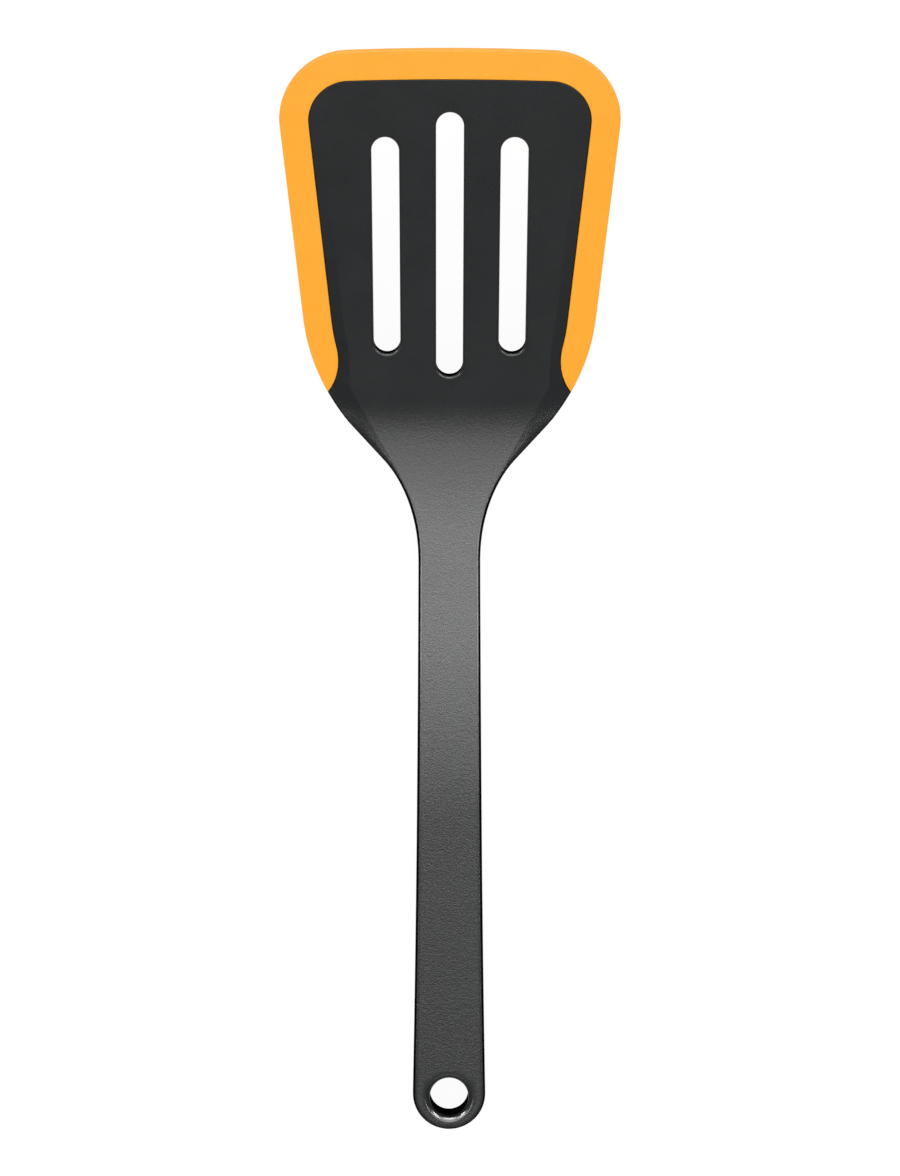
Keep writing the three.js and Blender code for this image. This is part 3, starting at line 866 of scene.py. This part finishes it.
inner_radius = TIP_CORNER_RADIUS - BAND_WIDTH
half_rings = []
for x in spread(0, corner_x, TIP_STEPS)[:-1]:
    half_rings.append(band_ring((x, 0), (x, BAND_WIDTH)))
for angle in spread(-math.pi / 2, 0, CORNER_STEPS)[:-1]:
    out = (math.cos(angle), math.sin(angle))
    ends = [(corner_x + r * out[0], corner_u + r * out[1]) for r in (TIP_CORNER_RADIUS, inner_radius)]
    half_rings.append(band_ring(*ends))
to_the_point = spread(turn_u, where_band_is(BAND_POINT), TURN_STEPS)
for u in spaced(corner_u, turn_u, SIDE_SPACING)[:-1] + to_the_point:
    half_rings.append(band_ring((blade_half(u), u), (inner_half(u), u)))

silicone = FlatMesh()
left_rings = [[(-x, u, h) for x, u, h in ring] for ring in half_rings[:0:-1]]
band_rows = [silicone.row(ring) for ring in left_rings + half_rings]
silicone.strip(band_rows, across=True)
silicone.fan(band_rows[0][::-1])
silicone.fan(band_rows[-1])
silicone_edge = bent_object("silicone_edge_skin", silicone)
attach(silicone_edge, "root")
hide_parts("silicone_edge")
print("silicone skin:", len(silicone.points), "points,", len(silicone.faces), "faces")

# %% [markdown]
# ## Do the skins sit where the solids are?
#
# A skin that replaces a solid has to fill the same space. We compare the boxes, and we check that both
# skins are closed and face outwards: the signed volume of a closed mesh is positive only then.

# %% Compare skins and solids
def signed_volume(piece):
    """Volume in cubic millimetres, which is negative for a mesh turned inside out."""
    mesh = piece.data
    mesh.calc_loop_triangles()
    total = 0
    for triangle in mesh.loop_triangles:
        a, b, c = (mesh.vertices[i].co for i in triangle.vertices)
        total += a.dot(b.cross(c)) / 6
    return total / MM**3


def open_edges(piece):
    """How many edges don't lie between exactly two faces."""
    uses = {}
    for polygon in piece.data.polygons:
        for key in polygon.edge_keys:
            uses[key] = uses.get(key, 0) + 1
    return sum(1 for count in uses.values() if count != 2)


for piece, node in ((nylon_body, "nylon_body"), (silicone_edge, "silicone_edge")):
    low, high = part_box(node)
    corners = [piece.matrix_world @ Vector(c) for c in piece.bound_box]
    skin_low = [min(c[k] for c in corners) for k in range(3)]
    skin_high = [max(c[k] for c in corners) for k in range(3)]
    apart = [round((s - c) / MM, 2) for s, c in zip([*skin_low, *skin_high], [*low, *high])]
    print(node, "box differs by", apart, "mm")
    print(node, "skin holds", round(signed_volume(piece)), "mm3 and has", open_edges(piece), "open edges")

# %% [markdown]
# ## Black nylon
#
# The mould was spark-eroded, which leaves a fine even grain on the neck and handle. The blade is smoother.
# A photograph of such a grain would repeat and show seams, so two sizes of noise make it here. The stored
# grain says how strong it is. The stored shade is painted shade that darkens the colour where little light
# reaches. The stored shine sets how much the nylon reflects, and it is nil where that shade is full. The
# same noise breaks up the gloss a little. Numbers that never change go straight on the shader.

# %% A new material
def new_material(name):
    """An empty node material with a principled shader."""
    material = bpy.data.materials.new(name)
    material.use_nodes = True
    tree = material.node_tree
    tree.nodes.clear()
    shader = tree.nodes.new("ShaderNodeBsdfPrincipled")
    output = tree.nodes.new("ShaderNodeOutputMaterial")
    tree.links.new(shader.outputs["BSDF"], output.inputs["Surface"])
    return material, tree, shader


nylon_finish, tree, shader = new_material("spark_grained_nylon")
print("new material:", nylon_finish.name)

# %% Grain of the nylon
FINE_GRAIN = 0.00035
COARSE_GRAIN = 0.0008
COARSE_SHARE = 0.7
GRAIN_DEPTH = 0.00011


def noise(tree, size, detail):
    """A noise whose blobs are about a size across, in metres."""
    texture = tree.nodes.new("ShaderNodeTexNoise")
    texture.inputs["Scale"].default_value = 1 / size
    texture.inputs["Detail"].default_value = detail
    place_node = tree.nodes.new("ShaderNodeTexCoord")
    tree.links.new(place_node.outputs["Object"], texture.inputs["Vector"])
    return texture.outputs["Fac"]


def sum_of(tree, first, second, weight):
    """first plus second times a weight."""
    node = tree.nodes.new("ShaderNodeMath")
    node.operation = "MULTIPLY_ADD"
    tree.links.new(second, node.inputs[0])
    node.inputs[1].default_value = weight
    tree.links.new(first, node.inputs[2])
    return node.outputs[0]


def attribute_value(tree, name):
    """A number that is stored on the points of the mesh."""
    node = tree.nodes.new("ShaderNodeAttribute")
    node.attribute_name = name
    return node.outputs["Fac"]


def bump(tree, height, depth, strength):
    """Normals of a relief of a depth in metres; strength is a number or a socket."""
    node = tree.nodes.new("ShaderNodeBump")
    node.inputs["Distance"].default_value = depth
    tree.links.new(height, node.inputs["Height"])
    if isinstance(strength, (int, float)):
        node.inputs["Strength"].default_value = strength
    else:
        tree.links.new(strength, node.inputs["Strength"])
    return node.outputs["Normal"]


fine = noise(tree, FINE_GRAIN, 1)
coarse = noise(tree, COARSE_GRAIN, 1)
grain_value = attribute_value(tree, "grain")
relief = sum_of(tree, fine, coarse, COARSE_SHARE)
tree.links.new(bump(tree, relief, GRAIN_DEPTH, grain_value), shader.inputs["Normal"])
print("sizes of the grain, mm:", round(FINE_GRAIN / MM, 2), "and", round(COARSE_GRAIN / MM, 2))

# %% Colour of the nylon
NYLON_DARK = (0.0175, 0.0185, 0.0196)
NYLON_LIGHT = (0.0205, 0.0216, 0.0227)
NYLON_CLOUD = 0.012
NEARLY_BLACK = (0.001, 0.001, 0.001, 1)


def two_tone(tree, value, dark, light):
    """A colour between two, chosen by a value."""
    ramp = tree.nodes.new("ShaderNodeValToRGB")
    ramp.color_ramp.elements[0].position = 0.3
    ramp.color_ramp.elements[0].color = (*dark, 1)
    ramp.color_ramp.elements[1].position = 0.7
    ramp.color_ramp.elements[1].color = (*light, 1)
    tree.links.new(value, ramp.inputs["Fac"])
    return ramp.outputs["Color"]


def darkened(tree, colour, amount):
    """A colour that turns nearly black as an amount goes from 0 to 1, to paint shade."""
    node = tree.nodes.new("ShaderNodeMix")
    node.data_type = "RGBA"
    tree.links.new(amount, node.inputs["Factor"])
    tree.links.new(colour, node.inputs[6])
    node.inputs[7].default_value = NEARLY_BLACK
    return node.outputs[2]


tint = two_tone(tree, noise(tree, NYLON_CLOUD, 3), NYLON_DARK, NYLON_LIGHT)
# painted shade: the stored shade darkens the base colour towards black
tree.links.new(darkened(tree, tint, attribute_value(tree, "shade")), shader.inputs["Base Color"])
print("nylon is tinted between", NYLON_DARK, "and", NYLON_LIGHT)

# %% Gloss of the nylon
GLOSS_BREAKUP = 0.2
NYLON_SMOOTHEST = 0.2
NYLON_ROUGHEST = 0.36


def ranged(tree, value, low, high):
    """Maps a value from 0..1 to low..high."""
    node = tree.nodes.new("ShaderNodeMapRange")
    tree.links.new(value, node.inputs["Value"])
    node.inputs["To Min"].default_value = low
    node.inputs["To Max"].default_value = high
    return node.outputs["Result"]


gloss_loss = sum_of(tree, grain_value, coarse, GLOSS_BREAKUP)
roughness = ranged(tree, gloss_loss, NYLON_SMOOTHEST, NYLON_ROUGHEST)
tree.links.new(roughness, shader.inputs["Roughness"])
tree.links.new(attribute_value(tree, "shine"), shader.inputs["Specular IOR Level"])
shader.inputs["IOR"].default_value = 1.58
nylon_body.data.materials.append(nylon_finish)
print("nylon finish has", len(tree.nodes), "nodes")

# %% [markdown]
# ## Orange silicone
#
# Silicone is a little translucent, so light that enters it comes out softened nearby: that is subsurface
# scattering, and a millimetre of it is enough. Without it the edge would look like hard painted plastic. Its
# skin is satin, with a very fine texture from the mould.

# %% Silicone finish
ORANGE_DARK = (0.95, 0.386, 0.02)
ORANGE_LIGHT = (0.965, 0.398, 0.0235)
SILICONE_CLOUD = 0.006
SILICONE_TEXTURE = 0.00025
SILICONE_TEXTURE_DEPTH = 0.000012

silicone_finish, tree, shader = new_material("satin_silicone")
cloud = noise(tree, SILICONE_CLOUD, 2)
skin = noise(tree, SILICONE_TEXTURE, 2)
tree.links.new(two_tone(tree, cloud, ORANGE_DARK, ORANGE_LIGHT), shader.inputs["Base Color"])
tree.links.new(ranged(tree, skin, 0.4, 0.5), shader.inputs["Roughness"])
tree.links.new(bump(tree, skin, SILICONE_TEXTURE_DEPTH, 1), shader.inputs["Normal"])
shader.inputs["IOR"].default_value = 1.42
shader.inputs["Specular IOR Level"].default_value = 0.25
shader.inputs["Subsurface Weight"].default_value = 0.15
shader.inputs["Subsurface Radius"].default_value = (1, 0.35, 0.1)
shader.inputs["Subsurface Scale"].default_value = 0.001
silicone_edge.data.materials.append(silicone_finish)
print("silicone finish has", len(tree.nodes), "nodes")

# %% [markdown]
# ## White table
#
# The tool lies on a white sweep. For rays that come straight from the camera, or by a reflection, the table
# adds a glow of its own, so that it looks white everywhere, and a faint diffuse part keeps the shadow.

# %% Table
TABLE_REACH = 30
TABLE_DROP = 0.0001

table_mesh = bpy.data.meshes.new("white_table")
table_corners = [(-1, -1, 0), (1, -1, 0), (1, 1, 0), (-1, 1, 0)]
table_mesh.from_pydata([Vector(c) * TABLE_REACH for c in table_corners], [], [(0, 1, 2, 3)])
table = bpy.data.objects.new("white_table", table_mesh)
bpy.context.scene.collection.objects.link(table)
table.location.z = -TABLE_DROP
print("table reaches", TABLE_REACH, "m each way")

# %% White finish of the table
TABLE_GLOW = 0.93
TABLE_PAINT = (0.8, 0.8, 0.8, 1)
SHADOW_PAINT = (0.1, 0.1, 0.1, 1)


def larger(tree, first, second):
    """The larger of two values."""
    node = tree.nodes.new("ShaderNodeMath")
    node.operation = "MAXIMUM"
    tree.links.new(first, node.inputs[0])
    tree.links.new(second, node.inputs[1])
    return node.outputs[0]


table_finish = bpy.data.materials.new("white_sweep")
table_finish.use_nodes = True
tree = table_finish.node_tree
tree.nodes.clear()
paint = tree.nodes.new("ShaderNodeBsdfDiffuse")
paint.inputs["Color"].default_value = TABLE_PAINT
shadow_part = tree.nodes.new("ShaderNodeBsdfDiffuse")
shadow_part.inputs["Color"].default_value = SHADOW_PAINT
glow = tree.nodes.new("ShaderNodeEmission")
glow.inputs["Strength"].default_value = TABLE_GLOW
seen = tree.nodes.new("ShaderNodeAddShader")
tree.links.new(shadow_part.outputs[0], seen.inputs[0])
tree.links.new(glow.outputs[0], seen.inputs[1])
ray = tree.nodes.new("ShaderNodeLightPath").outputs
camera_or_gloss = larger(tree, ray["Is Camera Ray"], ray["Is Glossy Ray"])
any_look = larger(tree, camera_or_gloss, ray["Is Transmission Ray"])
chosen = tree.nodes.new("ShaderNodeMixShader")
tree.links.new(any_look, chosen.inputs["Fac"])
tree.links.new(paint.outputs[0], chosen.inputs[1])
tree.links.new(seen.outputs[0], chosen.inputs[2])
table_output = tree.nodes.new("ShaderNodeOutputMaterial")
tree.links.new(chosen.outputs[0], table_output.inputs["Surface"])
table_mesh.materials.append(table_finish)
print("table finish has", len(tree.nodes), "nodes")

# %% [markdown]
# ## Soft light
#
# The real tool was lit from all sides, as in a white tent: the silicone is nearly one tone, and nothing
# casts a hard shadow. So the world is an even white dome, and a colour renders about as it is written. Only
# the nylon shows where the tent was bright and where it was dim: the neck mirrors the bright side beyond the
# tip, and the blade mirrors the dim side behind the handle. Lamps that are seen only as reflections do that,
# and for reflected rays the dome itself is nearly dark.

# %% Lamps
LAMP_DISTANCE = 2.2


def soft_lamp(name, azimuth, lean, width, height, radiance):
    """A panel that is only seen reflected, turned from +X and leaning from the vertical, in degrees."""
    data = bpy.data.lights.new(name, "AREA")
    data.shape = "RECTANGLE"
    data.size, data.size_y = width, height
    data.energy = radiance * math.pi * width * height
    lamp = bpy.data.objects.new(name, data)
    bpy.context.scene.collection.objects.link(lamp)
    turned, leaning = math.radians(azimuth), math.radians(lean)
    flat = math.sin(leaning)
    away = Vector((math.cos(turned) * flat, math.sin(turned) * flat, math.cos(leaning)))
    lamp.location = away * LAMP_DISTANCE
    lamp.rotation_euler = away.to_track_quat("Z", "Y").to_euler()
    lamp.visible_camera = False
    lamp.visible_diffuse = False
    return lamp


lamps = [
    soft_lamp("sky_box", 90, 8, 1.2, 0.8, 2),
    soft_lamp("top_strip", 90, 0, 0.3, 1, 2.5),
    soft_lamp("front_box", 90, 30, 1.4, 0.6, 4.5),
    soft_lamp("front_strip", 90, 38, 0.8, 0.3, 5),
    soft_lamp("front_low", 90, 52, 1.6, 0.5, 14),
    soft_lamp("right_side", 0, 27, 1.7, 0.12, 12),
    soft_lamp("right_box", 35, 35, 0.8, 0.8, 7.5),
    soft_lamp("right_low", 30, 58, 0.6, 0.25, 36),
    soft_lamp("left_side", 180, 27, 1.7, 0.12, 12),
    soft_lamp("left_box", 145, 35, 0.8, 0.8, 7),
    soft_lamp("left_low", 150, 58, 0.5, 0.25, 36),
    soft_lamp("back_strip", 270, 8, 1, 0.4, 2),
    soft_lamp("back_mid", 270, 21, 1, 0.25, 0.4),
    soft_lamp("back_low", 270, 46, 1.2, 0.4, 0.8),
]
print("lamps:", [lamp.name for lamp in lamps])

# %% White dome
DOME_STRENGTH = 1.1
DOME_REFLECTED = 0.02

world = bpy.data.worlds.new("white_tent")
bpy.context.scene.world = world
world.use_nodes = True
tree = world.node_tree
dome = tree.nodes["Background"]
dome.inputs["Color"].default_value = (1, 1, 1, 1)
ray = tree.nodes.new("ShaderNodeLightPath").outputs
tree.links.new(ranged(tree, ray["Is Glossy Ray"], DOME_STRENGTH, DOME_REFLECTED), dome.inputs["Strength"])
print("dome strength:", DOME_STRENGTH, "and", DOME_REFLECTED, "where it is reflected")

# %% [markdown]
# ## Camera
#
# The photograph looks straight down. How much the slots draw together tells how near the camera was: about
# 600 mm above the table. From there the picture's height of 1176 pixels takes a lens of about 64 mm. The
# camera was not quite level, so it is turned by a fraction of a degree.

# %% Camera above the table
CAMERA_PLACE = (-0.0023, 0.004, 0.6)
CAMERA_TURN = (0.0016, -0.0042, 0.0005)
FOCAL_PIXELS = 2099
PICTURE_HEIGHT = 1176
SENSOR_SIDE = 36

camera_data = bpy.data.cameras.new("camera")
camera_data.sensor_fit = "AUTO"
camera_data.sensor_width = SENSOR_SIDE
camera_data.lens = FOCAL_PIXELS * SENSOR_SIDE / PICTURE_HEIGHT
camera = bpy.data.objects.new("camera", camera_data)
bpy.context.scene.collection.objects.link(camera)
camera.location = CAMERA_PLACE
camera.rotation_euler = CAMERA_TURN
bpy.context.scene.camera = camera
bpy.context.scene.view_settings.view_transform = "Standard"
print("lens:", round(camera_data.lens, 2), "mm")
